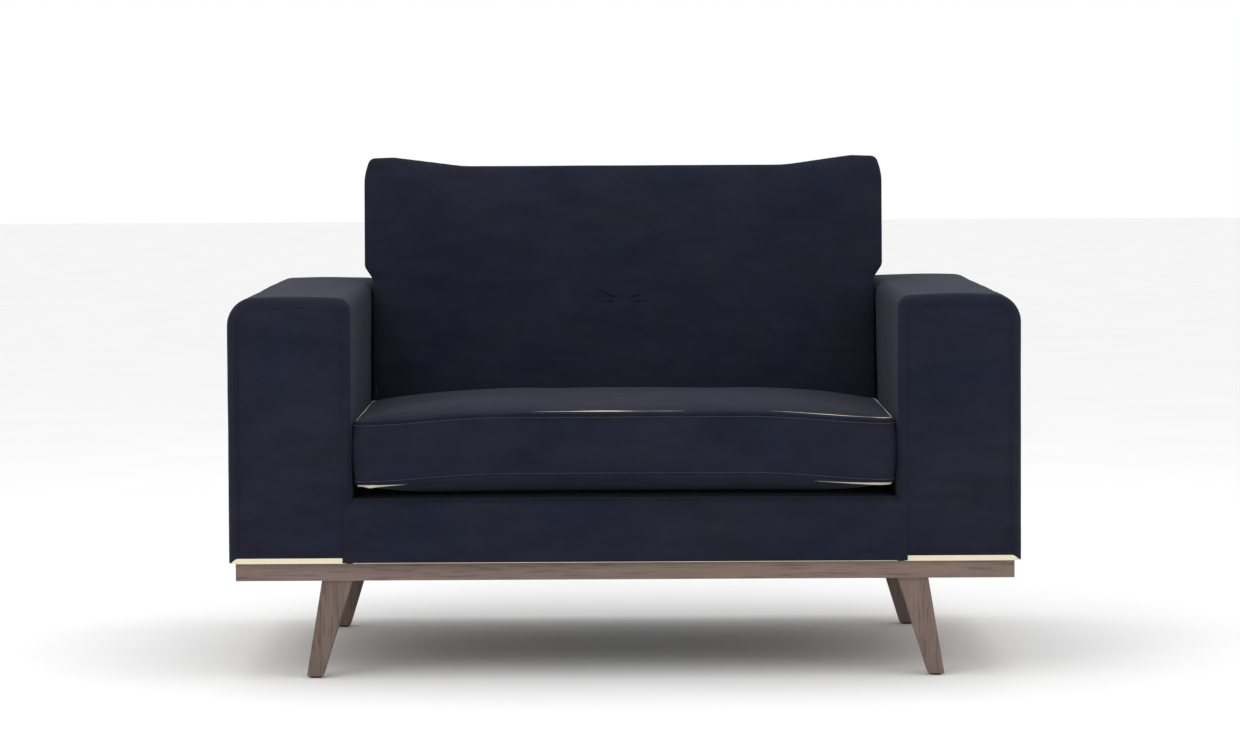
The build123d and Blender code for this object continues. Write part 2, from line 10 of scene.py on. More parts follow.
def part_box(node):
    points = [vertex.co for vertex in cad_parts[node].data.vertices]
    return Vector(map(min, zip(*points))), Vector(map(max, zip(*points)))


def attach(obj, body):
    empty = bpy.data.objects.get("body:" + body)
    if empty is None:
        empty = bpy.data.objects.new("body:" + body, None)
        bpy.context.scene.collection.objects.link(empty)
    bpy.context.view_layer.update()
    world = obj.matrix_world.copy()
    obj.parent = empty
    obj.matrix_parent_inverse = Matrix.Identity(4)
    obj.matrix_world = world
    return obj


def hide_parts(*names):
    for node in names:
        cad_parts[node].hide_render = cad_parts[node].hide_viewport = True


bl_info = {
    "name": "Velvet Loveseat",
    "version": (1, 0, 0),
    "blender": (4, 5, 0),
    "location": "View3D > Sidebar > Loveseat",
    "description": "Builds a boxed-cushion velvet loveseat around its packed frame",
    "category": "Object",
}

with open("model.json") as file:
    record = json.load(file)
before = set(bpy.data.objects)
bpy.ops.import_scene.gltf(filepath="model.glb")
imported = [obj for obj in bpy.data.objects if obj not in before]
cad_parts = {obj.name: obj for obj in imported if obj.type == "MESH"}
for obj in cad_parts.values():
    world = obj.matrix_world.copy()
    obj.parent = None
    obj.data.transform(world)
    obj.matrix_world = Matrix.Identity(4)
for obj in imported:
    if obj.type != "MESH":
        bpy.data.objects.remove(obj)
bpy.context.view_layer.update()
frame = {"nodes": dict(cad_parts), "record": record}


def box_of(node):
    low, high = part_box(node)
    return Vector(low), Vector(high)


ARM_LOW, ARM_HIGH = box_of("arm_cover_right")
SEAT_LOW, SEAT_HIGH = box_of("seat_cushion_cover")
DECK_LOW, DECK_HIGH = box_of("seat_deck_cloth")
APRON_LOW, APRON_HIGH = box_of("apron_cover")
BACK_LOW, BACK_HIGH = box_of("back_cover")
LEAN = math.radians(10.0)
UP = Vector((0, math.sin(LEAN), math.cos(LEAN)))
THROUGH = Vector((0, math.cos(LEAN), -math.sin(LEAN)))
BACK_THICK = 0.200
BACK_REAR_FOOT = 0.297                                # height of the back cushion's rear lower edge
BACK_FOOT = BACK_REAR_FOOT + BACK_THICK * math.sin(LEAN)
BACK_ORIGIN = Vector((0, 0.075 + math.tan(LEAN) * (BACK_FOOT - 0.458), BACK_FOOT))


class LoveseatSizes(bpy.types.PropertyGroup):
    """Sizes of the upholstery."""
    arm_outer_radius: bpy.props.FloatProperty(
        name="Arm Outer Radius", description="Rounding along the arm's outer top edge",
        default=0.044, unit="LENGTH")
    arm_inner_radius: bpy.props.FloatProperty(
        name="Arm Inner Radius", description="Rounding along the arm's seat-side top edge",
        default=0.020, unit="LENGTH")
    panel_inset: bpy.props.FloatProperty(
        name="Panel Inset", description="Distance of the arm's front seam from its outline",
        default=0.016, unit="LENGTH")
    seat_crown: bpy.props.FloatProperty(
        name="Seat Crown", description="Rise of the seat cushion's top panel above its seam",
        default=0.019, unit="LENGTH")
    seat_boxing: bpy.props.FloatProperty(
        name="Seat Boxing", description="Height of the seat cushion's boxing strip",
        default=0.104, unit="LENGTH")
    back_crown: bpy.props.FloatProperty(
        name="Back Crown", description="Bulge of the back cushion's front panel",
        default=0.026, unit="LENGTH")
    stitch_pitch: bpy.props.FloatProperty(
        name="Stitch Pitch", description="Distance from one topstitch to the next",
        default=0.0042, unit="LENGTH")


class LoveseatColours(bpy.types.PropertyGroup):
    """Colours of the finishes."""
    velvet_cool: bpy.props.FloatVectorProperty(
        name="Velvet Cool", description="Velvet where the pile lies down the light",
        default=(0.0072, 0.0100, 0.0225), subtype="COLOR")
    velvet_warm: bpy.props.FloatVectorProperty(
        name="Velvet Warm", description="Velvet where the pile is brushed the other way",
        default=(0.0125, 0.0122, 0.0225), subtype="COLOR")
    walnut_light: bpy.props.FloatVectorProperty(
        name="Walnut Light", description="Pale grain of the stained wood",
        default=(0.185, 0.124, 0.098), subtype="COLOR")
    walnut_dark: bpy.props.FloatVectorProperty(
        name="Walnut Dark", description="Dark grain of the stained wood",
        default=(0.085, 0.056, 0.044), subtype="COLOR")


def sizes():
    return bpy.context.scene.loveseat_sizes


def colours():
    return bpy.context.scene.loveseat_colours


# ---------- materials ----------

def new_material(name):
    material = bpy.data.materials.new(name)
    material.use_nodes = True
    tree = material.node_tree
    return material, tree, tree.nodes["Principled BSDF"]


def object_noise(tree, scale, detail=3.0, roughness=0.5, stretch=(1, 1, 1)):
    """Noise on the piece's own coordinates, stretched per axis."""
    where = tree.nodes.new("ShaderNodeTexCoord")
    mapping = tree.nodes.new("ShaderNodeMapping")
    mapping.inputs["Scale"].default_value = stretch
    texture = tree.nodes.new("ShaderNodeTexNoise")
    texture.inputs["Scale"].default_value = scale
    texture.inputs["Detail"].default_value = detail
    texture.inputs["Roughness"].default_value = roughness
    tree.links.new(where.outputs["Object"], mapping.inputs["Vector"])
    tree.links.new(mapping.outputs["Vector"], texture.inputs["Vector"])
    return texture.outputs["Fac"]


def ramp(tree, factor, stops):
    node = tree.nodes.new("ShaderNodeValToRGB")
    band = node.color_ramp
    while len(band.elements) < len(stops):
        band.elements.new(0.5)
    for element, (place, colour) in zip(band.elements, stops):
        element.position = place
        element.color = (*colour, 1)
    tree.links.new(factor, node.inputs["Fac"])
    return node.outputs["Color"]


def bump(tree, shader, height, strength, distance, under=None):
    node = tree.nodes.new("ShaderNodeBump")
    node.inputs["Strength"].default_value = strength
    node.inputs["Distance"].default_value = distance
    tree.links.new(height, node.inputs["Height"])
    if under is not None:
        tree.links.new(under, node.inputs["Normal"])
    tree.links.new(node.outputs["Normal"], shader.inputs["Normal"])
    return node.outputs["Normal"]


def velvet_material():
    """Short cut pile: cloudy brushed patches, fine pile grain and a cool sheen."""
    material, tree, shader = new_material("navy_velvet")
    patches = object_noise(tree, 5.5, 5.0, 0.62, (1, 1, 1.4))
    cool, warm = tuple(colours().velvet_cool), tuple(colours().velvet_warm)
    tint = ramp(tree, patches, [(0.36, cool), (0.50, tuple((a + b) / 2 for a, b in zip(cool, warm))), (0.66, warm)])
    streaks = object_noise(tree, 38, 4.0, 0.6, (0.35, 1, 1))
    shade = ramp(tree, streaks, [(0.35, (0.82, 0.82, 0.82)), (0.70, (1.18, 1.18, 1.18))])
    mix = tree.nodes.new("ShaderNodeMix")
    mix.data_type = "RGBA"
    mix.blend_type = "MULTIPLY"
    mix.inputs["Factor"].default_value = 1.0
    tree.links.new(tint, mix.inputs["A"])
    tree.links.new(shade, mix.inputs["B"])
    tree.links.new(mix.outputs["Result"], shader.inputs["Base Color"])
    shader.inputs["Roughness"].default_value = 0.92
    shader.inputs["Specular IOR Level"].default_value = 0.18
    shader.inputs["Sheen Weight"].default_value = 0.05
    shader.inputs["Sheen Roughness"].default_value = 0.42
    shader.inputs["Sheen Tint"].default_value = (0.72, 0.78, 1.0, 1)
    pile = object_noise(tree, 1500, 2.0, 0.6)
    fine = bump(tree, shader, pile, 0.30, 0.0006)
    nap = object_noise(tree, 42, 3.0, 0.6, (0.6, 1, 1))
    bump(tree, shader, nap, 0.22, 0.002, fine)
    return material


def thread_material():
    material, tree, shader = new_material("navy_thread")
    twist = object_noise(tree, 900, 2.0)
    tint = ramp(tree, twist, [(0.3, (0.018, 0.022, 0.045)), (0.7, (0.040, 0.046, 0.080))])
    tree.links.new(tint, shader.inputs["Base Color"])
    shader.inputs["Roughness"].default_value = 0.6
    shader.inputs["Sheen Weight"].default_value = 0.2
    return material


def walnut_material(name, stretch):
    """Stained wood: long grain, fine open pores and a thin satin lacquer."""
    material, tree, shader = new_material(name)
    light, dark = tuple(colours().walnut_light), tuple(colours().walnut_dark)
    middle = tuple((a + b) / 2 for a, b in zip(light, dark))
    grain = object_noise(tree, 26, 7.0, 0.62, stretch)
    tint = ramp(tree, grain, [(0.30, dark), (0.50, middle), (0.68, light)])
    pores = object_noise(tree, 330, 2.0, 0.5, stretch)
    shade = ramp(tree, pores, [(0.36, (0.55, 0.52, 0.5)), (0.47, (1.0, 1.0, 1.0))])
    mix = tree.nodes.new("ShaderNodeMix")
    mix.data_type = "RGBA"
    mix.blend_type = "MULTIPLY"
    mix.inputs["Factor"].default_value = 0.8
    tree.links.new(tint, mix.inputs["A"])
    tree.links.new(shade, mix.inputs["B"])
    tree.links.new(mix.outputs["Result"], shader.inputs["Base Color"])
    rough = tree.nodes.new("ShaderNodeMapRange")
    rough.inputs["To Min"].default_value = 0.36
    rough.inputs["To Max"].default_value = 0.56
    tree.links.new(grain, rough.inputs["Value"])
    tree.links.new(rough.outputs["Result"], shader.inputs["Roughness"])
    shader.inputs["Coat Weight"].default_value = 0.12
    shader.inputs["Coat Roughness"].default_value = 0.35
    bump(tree, shader, pores, 0.25, 0.0004)
    return material


def plain_material(name, dark, light, scale, roughness, metallic=0.0, stretch=(1, 1, 1), depth=0.0005):
    """Two-tone finish with a fine surface grain, for what lies inside."""
    material, tree, shader = new_material(name)
    pattern = object_noise(tree, scale, 4.0, 0.6, stretch)
    tint = ramp(tree, pattern, [(0.3, dark), (0.7, light)])
    tree.links.new(tint, shader.inputs["Base Color"])
    shader.inputs["Roughness"].default_value = roughness
    shader.inputs["Metallic"].default_value = metallic
    bump(tree, shader, pattern, 0.3, depth)
    return material


def inner_finishes():
    """One material for each hidden finish, by the record's slot."""
    return {
        "frame_timber": plain_material("beech", (0.42, 0.27, 0.15), (0.62, 0.44, 0.27), 30, 0.62, 0, (0.15, 0.15, 1)),
        "plywood": plain_material("birch_plywood", (0.50, 0.35, 0.20), (0.70, 0.54, 0.36), 24, 0.6, 0, (1, 0.2, 0.2)),
        "hardboard": plain_material("hardboard", (0.17, 0.10, 0.06), (0.26, 0.165, 0.10), 160, 0.7),
        "foam": plain_material("cream_foam", (0.68, 0.60, 0.42), (0.80, 0.73, 0.56), 420, 0.95, 0, (1, 1, 1), 0.001),
        "fibre": plain_material("fibre_ticking", (0.70, 0.70, 0.68), (0.86, 0.86, 0.84), 260, 0.92),
        "felt": plain_material("grey_felt", (0.28, 0.27, 0.26), (0.46, 0.45, 0.43), 340, 0.95),
        "webbing": plain_material("black_webbing", (0.03, 0.03, 0.03), (0.09, 0.09, 0.09), 500, 0.8, 0, (1, 1, 0.2)),
        "black_cloth": plain_material("dust_cloth", (0.010, 0.010, 0.011), (0.028, 0.028, 0.030), 600, 0.95),
        "zip_tape": plain_material("zip_tape", (0.008, 0.010, 0.022), (0.022, 0.026, 0.045), 900, 0.8),
        "dark_metal": plain_material("dark_nickel", (0.05, 0.05, 0.055), (0.11, 0.11, 0.12), 200, 0.34, 0.9),
        "zinc_steel": plain_material("zinc_plate", (0.50, 0.49, 0.44), (0.68, 0.68, 0.66), 120, 0.36, 1.0),
        "spring_steel": plain_material("spring_wire", (0.10, 0.10, 0.11), (0.26, 0.26, 0.27), 90, 0.42, 1.0),
        "black_plastic": plain_material("black_nylon", (0.012, 0.012, 0.012), (0.03, 0.03, 0.03), 300, 0.55),
    }


def material_named(name, make):
    return bpy.data.materials.get(name) or make()


def velvet():
    return material_named("navy_velvet", velvet_material)


# ---------- outlines and lofts ----------

def rounded_outline(corners, radii, inset=0.0, arc=8, side=14):
    """Closed outline through rounded corners, counter-clockwise, shrunk by an inset.
    Every inset of one outline has the same number of points, so rings of it can be joined."""
    count = len(corners)
    lines = []
    for i in range(count):
        a, b = Vector(corners[i]), Vector(corners[(i + 1) % count])
        along = (b - a).normalized()
        inward = Vector((-along.y, along.x))
        lines.append((a + inward * inset, along))
    points, arcs = [], []
    for i in range(count):
        (p, u), (q, v) = lines[i - 1], lines[i]
        cross = u.x * v.y - u.y * v.x
        t = ((q - p).x * v.y - (q - p).y * v.x) / cross
        corner = p + u * t
        radius = max(radii[i] - inset, 0.001) if cross > 0 else radii[i] + inset
        turn = math.atan2(cross, u.dot(v))
        reach = radius * math.tan(abs(turn) / 2)
        start = corner - u * reach
        normal = Vector((-u.y, u.x)) * (1 if turn > 0 else -1)
        centre = start + normal * radius
        arcs.append([centre + rotate2(start - centre, turn * k / arc) for k in range(arc + 1)])
    for i in range(count):
        points += arcs[i]
        a, b = arcs[i][-1], arcs[(i + 1) % count][0]
        points += [a.lerp(b, k / side) for k in range(1, side)]
    return points


def rotate2(vector, angle):
    c, s = math.cos(angle), math.sin(angle)
    return Vector((vector.x * c - vector.y * s, vector.x * s + vector.y * c))


def loft(name, rings, material):
    """Closed skin through rings of points, with a fan of faces over each end."""
    mesh = bpy.data.meshes.new(name)
    count = len(rings[0])
    vertices = [tuple(p) for ring in rings for p in ring]
    faces = []
    for r in range(len(rings) - 1):
        for i in range(count):
            j = (i + 1) % count
            faces.append((r * count + i, r * count + j, (r + 1) * count + j, (r + 1) * count + i))
    for ring, start in ((rings[0], 0), (rings[-1], (len(rings) - 1) * count)):
        vertices.append(tuple(sum((Vector(p) for p in ring), Vector()) / count))
        pole = len(vertices) - 1
        faces += [(start + (i + 1) % count, start + i, pole) for i in range(count)]
    mesh.from_pydata(vertices, [], faces)
    work = bmesh.new()
    work.from_mesh(mesh)
    bmesh.ops.recalc_face_normals(work, faces=work.faces)
    work.to_mesh(mesh)
    work.free()
    mesh.shade_smooth()
    mesh.materials.append(material)
    piece = bpy.data.objects.new(name, mesh)
    bpy.context.scene.collection.objects.link(piece)
    return piece


def soften(piece, amount, scale, seed, keep=None):
    """Gentle hand-made unevenness along the normals, and none where keep says so."""
    mesh = piece.data
    offset = Vector((seed * 3.7, seed * 1.3, seed * 5.1))
    moves = []
    for vertex in mesh.vertices:
        share = 1.0 if keep is None else keep(vertex.co)
        height = noise.noise(vertex.co * scale + offset) + 0.45 * noise.noise(vertex.co * scale * 2.6 - offset)
        moves.append(vertex.normal * height * amount * share)
    for vertex, move in zip(mesh.vertices, moves):
        vertex.co += move
    mesh.update()


def smoothstep(low, high, value):
    t = min(max((value - low) / (high - low), 0.0), 1.0)
    return t * t * (3 - 2 * t)


# ---------- stitches ----------

def stitch_tree():
    """Row of short threads along a path: resample, lay a thread on each point, join them."""
    tree = bpy.data.node_groups.get("stitch_row")
    if tree:
        return tree
    tree = bpy.data.node_groups.new("stitch_row", "GeometryNodeTree")
    face = tree.interface
    face.new_socket("Geometry", in_out="INPUT", socket_type="NodeSocketGeometry")
    for label in ("Pitch", "Length", "Radius"):
        face.new_socket(label, in_out="INPUT", socket_type="NodeSocketFloat")
    face.new_socket("Thread", in_out="INPUT", socket_type="NodeSocketMaterial")
    face.new_socket("Geometry", in_out="OUTPUT", socket_type="NodeSocketGeometry")
    nodes, link = tree.nodes, tree.links.new
    given, out = nodes.new("NodeGroupInput"), nodes.new("NodeGroupOutput")
    curve = nodes.new("GeometryNodeMeshToCurve")
    even = nodes.new("GeometryNodeResampleCurve")
    even.mode = "LENGTH"
    tangent = nodes.new("GeometryNodeInputTangent")
    turn = nodes.new("FunctionNodeAlignRotationToVector")
    turn.axis = "Z"
    thread = nodes.new("GeometryNodeMeshCylinder")
    thread.inputs["Vertices"].default_value = 6
    place = nodes.new("GeometryNodeInstanceOnPoints")
    real = nodes.new("GeometryNodeRealizeInstances")
    paint = nodes.new("GeometryNodeSetMaterial")
    link(given.outputs["Geometry"], curve.inputs["Mesh"])
    link(curve.outputs["Curve"], even.inputs["Curve"])
    link(given.outputs["Pitch"], even.inputs["Length"])
    link(tangent.outputs["Tangent"], turn.inputs["Vector"])
    link(given.outputs["Radius"], thread.inputs["Radius"])
    link(given.outputs["Length"], thread.inputs["Depth"])
    link(even.outputs["Curve"], place.inputs["Points"])
    link(thread.outputs["Mesh"], place.inputs["Instance"])
    link(turn.outputs["Rotation"], place.inputs["Rotation"])
    link(place.outputs["Instances"], real.inputs["Geometry"])
    link(real.outputs["Geometry"], paint.inputs["Geometry"])
    link(given.outputs["Thread"], paint.inputs["Material"])
    link(paint.outputs["Geometry"], out.inputs["Geometry"])
    return tree


def stitch_rows(name, paths, body):
    """Topstitching along one or more paths, as one piece on a body."""
    mesh = bpy.data.meshes.new(name + "_path")
    vertices, edges = [], []
    for path in paths:
        start = len(vertices)
        vertices += [tuple(p) for p in path]
        edges += [(start + i, start + i + 1) for i in range(len(path) - 1)]
    mesh.from_pydata(vertices, edges, [])
    carrier = bpy.data.objects.new(name + "_path", mesh)
    bpy.context.scene.collection.objects.link(carrier)
    modifier = carrier.modifiers.new("stitches", "NODES")
    tree = stitch_tree()
    modifier.node_group = tree
    values = {
        "Pitch": sizes().stitch_pitch,
        "Length": sizes().stitch_pitch * 0.72,
        "Radius": 0.00045,
        "Thread": material_named("navy_thread", thread_material),
    }
    for item in tree.interface.items_tree:
        if item.in_out == "INPUT" and item.name in values:
            modifier[item.identifier] = values[item.name]
    graph = bpy.context.evaluated_depsgraph_get()
    made = bpy.data.meshes.new_from_object(carrier.evaluated_get(graph))
    bpy.data.objects.remove(carrier)
    made.shade_smooth()
    piece = bpy.data.objects.new(name, made)
    bpy.context.scene.collection.objects.link(piece)
    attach(piece, body)
    return piece


# ---------- arms ----------

def arm_outline(side, inset):
    """Section across the arm (X, Z), the same way round for both sides."""
    s = sizes()
    low, high = ARM_LOW, ARM_HIGH
    corners = [(low.x, low.z), (high.x, low.z), (high.x, high.z), (low.x, high.z)]
    radii = [0.002, 0.002, s.arm_outer_radius, s.arm_inner_radius]
    points = rounded_outline(corners, radii, inset, 10, 22)
    return [Vector((side * p.x, p.y)) for p in points]


def arm_rings(side):
    """Front panel, ridged seam, rounded edge, long wrap and plain rear panel."""
    s = sizes()
    front, rear, seam = ARM_LOW.y, ARM_HIGH.y, s.panel_inset
    steps = [(0.085, -0.0015), (0.070, -0.0015), (0.055, -0.0012), (0.040, -0.0008), (0.028, -0.0002)]
    steps += [(seam + 0.004, 0.0008), (seam + 0.0018, 0.0016), (seam + 0.0006, -0.0002), (seam - 0.0006, -0.0002)]
    steps += [(seam - 0.0018, 0.0016)]
    for k in range(1, 8):
        angle = math.pi / 2 * k / 8
        steps.append((seam * (1 - math.sin(angle)), 0.0012 + seam * (1 - math.cos(angle))))
    steps.append((0.0, seam + 0.002))
    rings = [(inset, front + depth) for inset, depth in steps]
    count = 46
    for k in range(1, count):
        rings.append((0.0, front + 0.02 + (rear - front - 0.034) * k / count))
    for k in range(0, 6):
        angle = math.pi / 2 * k / 5
        rings.append((0.012 * (1 - math.cos(angle)), rear - 0.012 * (1 - math.sin(angle))))
    rings += [(0.03, rear), (0.05, rear), (0.07, rear), (0.085, rear)]
    return [[Vector((p.x, y, p.y)) for p in arm_outline(side, inset)] for inset, y in rings]


def arm_swell(piece, side):
    """The padding stands fullest along the middle of the top and of the outer side."""
    for vertex in piece.data.vertices:
        along = (vertex.co.y - ARM_LOW.y) / (ARM_HIGH.y - ARM_LOW.y)
        across = (abs(vertex.co.x) - ARM_LOW.x) / (ARM_HIGH.x - ARM_LOW.x)
        top = smoothstep(ARM_HIGH.z - 0.05, ARM_HIGH.z, vertex.co.z)
        bow = math.sin(math.pi * min(max(across, 0), 1)) * 0.003
        vertex.co.z += top * bow
        outer = smoothstep(ARM_HIGH.x - 0.004, ARM_HIGH.x, abs(vertex.co.x))
        vertex.co.x += side * outer * 0.0015 * math.sin(math.pi * min(max(along, 0), 1))
    piece.data.update()


def arm_keep(co):
    """Wrinkles fade out at the bottom edge and along the seams of the ends."""
    ends = smoothstep(0.0, 0.03, co.y - ARM_LOW.y) * 0.75 + 0.25
    return smoothstep(ARM_LOW.z, ARM_LOW.z + 0.05, co.z) * ends


class LOVESEAT_OT_arms(bpy.types.Operator):
    """Build both arm covers with their front seams and topstitching"""
    bl_idname = "loveseat.arms"
    bl_label = "Arms"

    def execute(self, context):
        rows = []
        seam = sizes().panel_inset
        for name, side in (("left", -1), ("right", 1)):
            piece = loft("arm_cover_" + name + "_velvet", arm_rings(side), velvet())
            arm_swell(piece, side)
            soften(piece, 0.0011, 7.0, 3 + side, arm_keep)
            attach(piece, "sofa_frame")
            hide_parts("arm_cover_" + name)
            outline = arm_outline(side, seam - 0.0052)
            rows.append([Vector((p.x, ARM_LOW.y + 0.0042, p.y)) for p in outline if p.y > ARM_LOW.z + 0.02])
        stitch_rows("arm_topstitch", [split_at_gap(row) for row in rows], "sofa_frame")
        return {"FINISHED"}


def split_at_gap(path):
    """Start an open path just after its widest gap, so it runs in one piece."""
    count = len(path)
    gaps = [(path[(i + 1) % count] - path[i]).length for i in range(count)]
    start = (gaps.index(max(gaps)) + 1) % count
    return path[start:] + path[:start]


# ---------- apron and deck ----------

def apron_profile():
    """Side profile (Y, Z) of the apron: flat front, rounded top edge and a flat top."""
    corners = [
        (APRON_LOW.y, APRON_LOW.z), (APRON_HIGH.y, APRON_LOW.z),
        (APRON_HIGH.y, APRON_HIGH.z), (APRON_LOW.y, APRON_HIGH.z),
    ]
    return rounded_outline(corners, [0.006, 0.002, 0.002, 0.020], 0.0, 10, 22)


class LOVESEAT_OT_apron(bpy.types.Operator):
    """Build the tight apron under the seat and the deck cloth behind it"""
    bl_idname = "loveseat.apron"
    bl_label = "Apron and Deck"

    def execute(self, context):
        reach = ARM_LOW.x + sizes().panel_inset
        profile = apron_profile()
        stations = [-reach + 2 * reach * k / 90 for k in range(91)]
        ends = [(-reach, 0.0022), (-reach + 0.0008, 0.0004), (-reach + 0.003, -0.0002)]
        rings = []
        for x, sink in ends:
            rings.append([Vector((x, p.x + (sink if p.x < APRON_LOW.y + 0.001 else 0), p.y)) for p in profile])
        rings += [[Vector((x, p.x, p.y)) for p in profile] for x in stations[1:-1]]
        for x, sink in reversed(ends):
            rings.append([Vector((-x, p.x + (sink if p.x < APRON_LOW.y + 0.001 else 0), p.y)) for p in profile])
        piece = loft("apron_velvet", rings, velvet())
        self.pull(piece, reach)
        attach(piece, "sofa_frame")
        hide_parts("apron_cover")
        self.deck()
        return {"FINISHED"}

    def pull(self, piece, reach):
        """Slanting drag lines near the ends, where the cloth is pulled round to the arms."""
        for vertex in piece.data.vertices:
            co = vertex.co
            if co.y > APRON_LOW.y + 0.01:
                continue
            edge = reach - abs(co.x)
            near = math.exp(-edge / 0.07) * smoothstep(0.0, 0.012, edge)
            slant = math.sin((abs(co.x) * 70 + co.z * 95))
            low = smoothstep(APRON_LOW.z, APRON_LOW.z + 0.02, co.z)
            vertex.co.y += (0.0016 * near * slant + 0.0006 * noise.noise(co * 14)) * low
        piece.data.update()

    def deck(self):
        """Woven deck cloth stretched over the springs, with a slight hollow in the middle."""
        low, high = DECK_LOW, DECK_HIGH
        columns, rows = 60, 44
        layers = []
        for level in (high.z, low.z):
            for j in range(rows + 1):
                for i in range(columns + 1):
                    u, v = i / columns, j / rows
                    x, y = low.x + (high.x - low.x) * u, low.y + (high.y - low.y) * v
                    sag = 0.0012 * math.sin(math.pi * u) * math.sin(math.pi * v)
                    layers.append((x, y, level - sag))
        faces = []
        width, sheet = columns + 1, (columns + 1) * (rows + 1)
        for j in range(rows):
            for i in range(columns):
                a, b = j * width + i, (j + 1) * width + i
                faces.append((a, a + 1, b + 1, b))
                faces.append((sheet + a, sheet + b, sheet + b + 1, sheet + a + 1))
        rim = [i for i in range(width)] + [j * width + columns for j in range(1, rows + 1)]
        rim += [rows * width + i for i in range(columns - 1, -1, -1)] + [j * width for j in range(rows - 1, 0, -1)]
        for a, b in zip(rim, rim[1:] + rim[:1]):
            faces.append((a, sheet + a, sheet + b, b))
        mesh = bpy.data.meshes.new("deck_cloth_sheet")
        mesh.from_pydata(layers, [], faces)
        mesh.materials.append(velvet())
        mesh.shade_smooth()
        piece = bpy.data.objects.new("deck_cloth_sheet", mesh)
        bpy.context.scene.collection.objects.link(piece)
        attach(piece, "sofa_frame")
        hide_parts("seat_deck_cloth")


# ---------- back ----------

def back_profile(inset):
    """Side profile (Y, Z) of the upholstered back: leaning front, soft top, slightly raked rear."""
    foot = 0.2852
    front_low = BACK_LOW.y
    top_front = front_low + math.tan(LEAN) * (BACK_HIGH.z - foot)
    corners = [
        (front_low, foot), (BACK_HIGH.y - 0.0276, foot),
        (BACK_HIGH.y, BACK_HIGH.z), (top_front, BACK_HIGH.z),
    ]
    return rounded_outline(corners, [0.002, 0.002, 0.026, 0.026], inset, 8, 20)


class LOVESEAT_OT_back(bpy.types.Operator):
    """Build the upholstered back frame's cover with its outside panel"""
    bl_idname = "loveseat.back"
    bl_label = "Back"

    def execute(self, context):
        half = BACK_HIGH.x
        stations = [(0.05, half), (0.03, half)]
        for k in range(0, 6):
            angle = math.pi / 2 * k / 5
            stations.append((0.009 * (1 - math.sin(angle)), half - 0.009 * (1 - math.cos(angle))))
        rings = [(inset, -x) for inset, x in stations]
        rings += [(0.0, -half + 0.012 + (2 * half - 0.024) * k / 60) for k in range(61)]
        rings += [(inset, x) for inset, x in reversed(stations)]
        shaped = [[Vector((x, p.x, p.y)) for p in back_profile(inset)] for inset, x in rings]
        piece = loft("back_cover_velvet", shaped, velvet())
        soften(piece, 0.0011, 6.0, 9, lambda co: smoothstep(0.28, 0.36, co.z))
        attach(piece, "sofa_frame")
        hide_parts("back_cover")
        self.outside_panel()
        return {"FINISHED"}

    def outside_panel(self):
        """Panel of the outside back, from the plinth up to the frame, closed behind the seat box."""
        low, high = BACK_LOW, BACK_HIGH
        y_low, z_low, z_high = 0.428, low.z, 0.292
        y_high = y_low + 33.0 / 574.0 * (z_high - z_low)
        corners = [(y_low - 0.003, z_low), (y_low, z_low), (y_high, z_high), (y_high - 0.003, z_high)]
        profile = rounded_outline(corners, [0.0008] * 4, 0.0, 2, 8)
        count = 50
        rings = []
        for k in range(count + 1):
            x = low.x + (high.x - low.x) * k / count
            rings.append([Vector((x, p.x, p.y)) for p in profile])
        piece = loft("outside_back_velvet", rings, velvet())
        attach(piece, "sofa_frame")


# ---------- cushions ----------

def seam_profile(boxing, bulge, pinch):
    """Boxing strip from seam to seam: (height share, outward offset), with a ridge at each seam."""
    steps = [(0.0, 0.0012), (0.012, 0.0008), (0.028, -pinch), (0.06, -pinch * 0.3)]
    steps += [(0.06 + 0.88 * k / 12, bulge * math.sin(math.pi * k / 12)) for k in range(1, 12)]
    steps += [(0.94, -pinch * 0.3), (0.972, -pinch), (0.988, 0.0008), (1.0, 0.0012)]
    return [(share * boxing, offset) for share, offset in steps]


def panel_shares():
    """How far out each ring of a panel lies, from near the middle to the seam."""
    return [0.06, 0.14, 0.22, 0.30, 0.38, 0.46, 0.54, 0.61, 0.68, 0.74, 0.80, 0.85, 0.89, 0.925, 0.95, 0.97, 0.984, 0.994]


def crown_height(share):
    """Panel height as a share of the crown: flat in the middle, quick to drop near the seam."""
    return (1 - share ** 3.2) ** 0.62


def seat_outline(offset):
    """Plan of the seat cushion: corners stand out, sides pull in a little between them."""
    low, high = SEAT_LOW, SEAT_HIGH
    corners = [(low.x, low.y), (high.x, low.y), (high.x, high.y), (low.x, high.y)]
    points = rounded_outline(corners, [0.034, 0.034, 0.030, 0.030], 0.0026 - offset, 12, 44)
    return points


def seat_bow(x):
    """Seams rise in the middle of the cushion and drop towards its ends."""
    t = abs(x) / SEAT_HIGH.x
    return -0.013 * smoothstep(0.45, 1.0, t)


def seat_rings():
    s = sizes()
    boxing = s.seat_boxing
    foot = SEAT_LOW.z + 0.036
    rings = []
    base = seat_outline(0)
    centre = Vector((0, (SEAT_LOW.y + SEAT_HIGH.y) / 2))
    under = foot - SEAT_LOW.z - 0.001
    for share in panel_shares():
        drop = under * crown_height(share)
        ring = [centre + (p - centre) * share for p in base]
        rings.append([Vector((p.x, p.y, foot - drop + seat_bow(p.x) * 0.6 * share)) for p in ring])
    for height, offset in seam_profile(boxing, 0.0040, 0.0022):
        ring = seat_outline(offset)
        rings.append([Vector((p.x, p.y, foot + height + seat_bow(p.x))) for p in ring])
    for share in reversed(panel_shares()):
        rise = s.seat_crown * crown_height(share)
        ring = [centre + (p - centre) * share for p in base]
        rings.append([Vector((p.x, p.y, foot + boxing + rise + seat_bow(p.x) * share)) for p in ring])
    return rings


